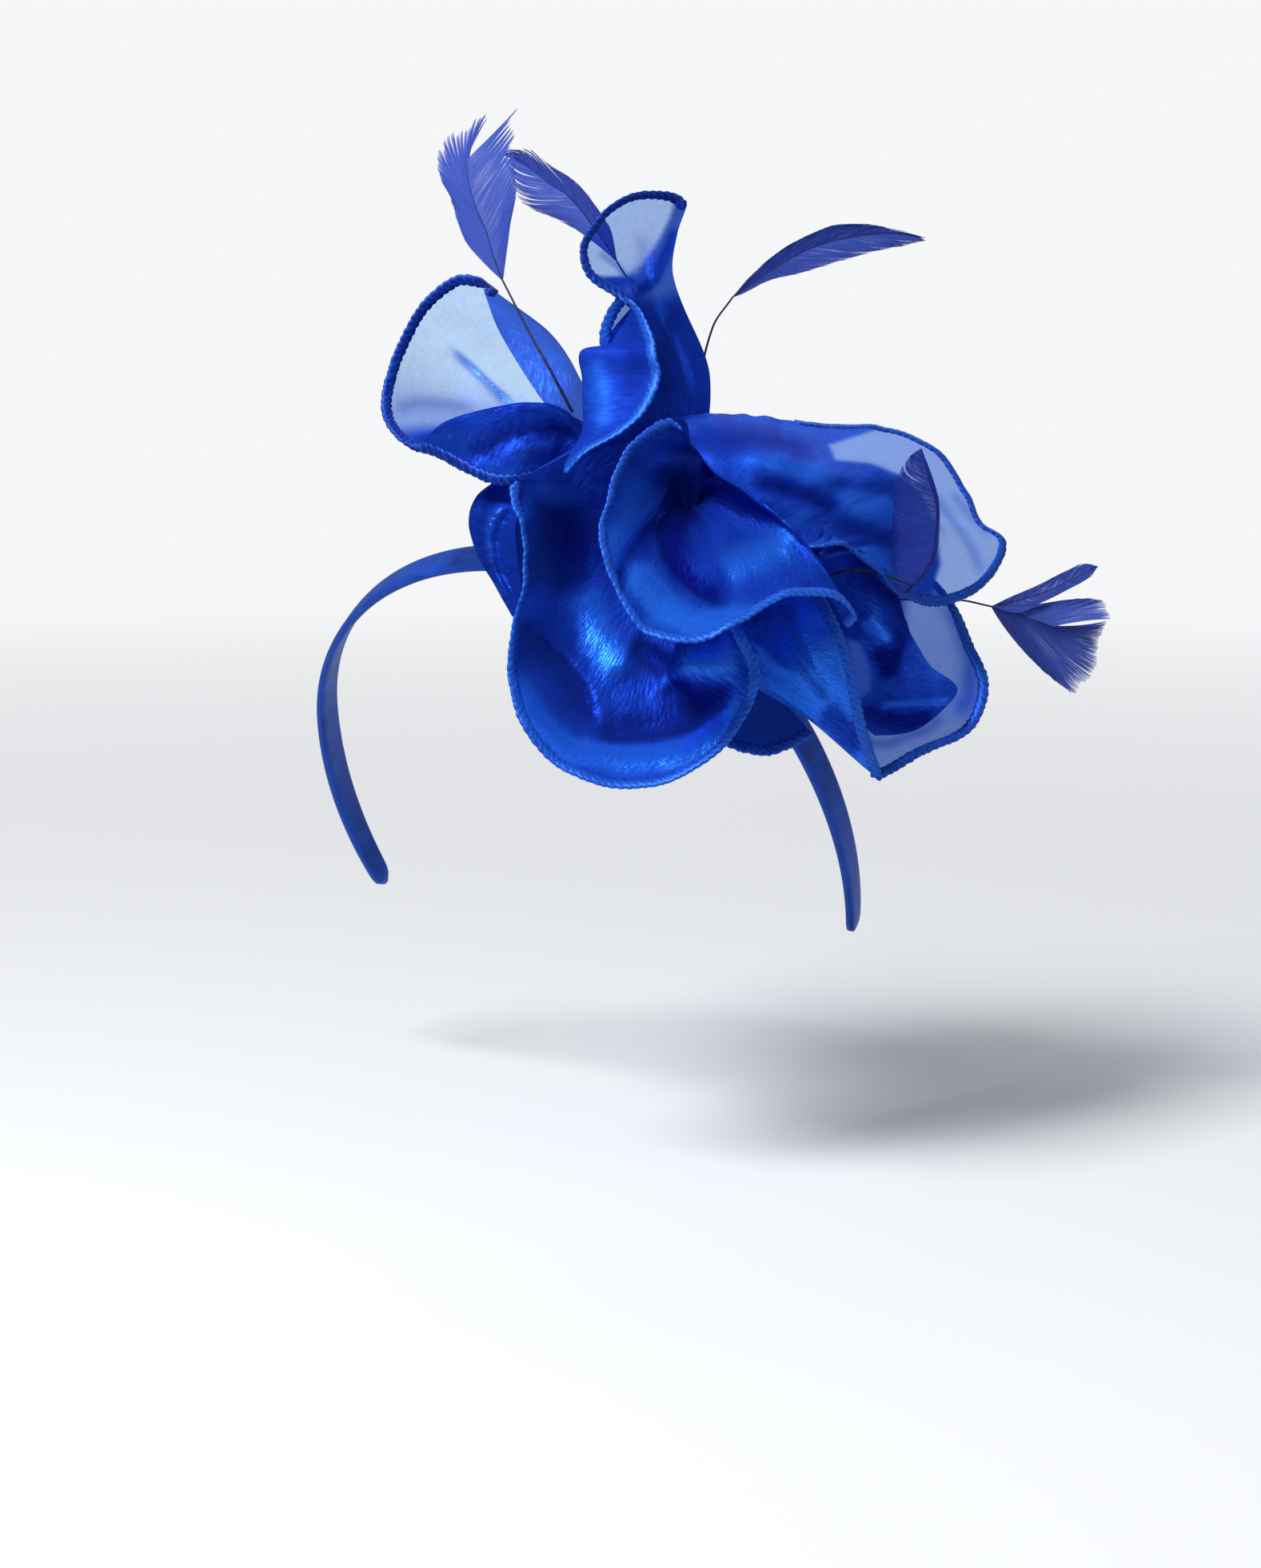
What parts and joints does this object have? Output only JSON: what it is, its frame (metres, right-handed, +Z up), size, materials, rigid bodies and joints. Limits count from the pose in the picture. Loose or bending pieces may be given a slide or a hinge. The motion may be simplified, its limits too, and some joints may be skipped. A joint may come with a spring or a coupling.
{
  "type": "hatinator headpiece",
  "caption": "Hatinator: looped ruffle rosette of stiff sheer organza with stitched hems and cut feathers, sewn off centre to a satin covered alice band.",
  "frame": {"origin": "head_seat: the inner face of the band at its top centre, where it sits on the crown of the head", "axes": "+Z up as worn, the wearer faces -Y, +X to the wearer's left, where the rosette is sewn"},
  "size_m": [0.2585, 0.1443, 0.2568],
  "materials": {
    "organza": "royal blue crystal organza, sheer in one layer, with a fine glittering weave and a bright sheen along its folds",
    "satin": "royal blue satin drawn over the band, soft gloss",
    "feather": "dyed blue feather with fine slanting barbs and a darker bare quill"
  },
  "bodies": {
    "root": {"headband": "satin", "sewn_core": "organza", "left_wing": "organza", "top_loop": "organza", "top_fold": "organza", "centre_rose": "organza", "over_petal": "organza", "front_petal": "organza", "point_petal": "organza", "inner_petal": "organza", "right_petal": "organza", "left_lobe": "organza", "under_lobe": "organza", "back_petal_left": "organza", "back_petal_right": "organza", "feather_1": "feather", "feather_2": "feather", "feather_3": "feather", "feather_4": "feather", "feather_5": "feather"}
  },
  "joints": []
}
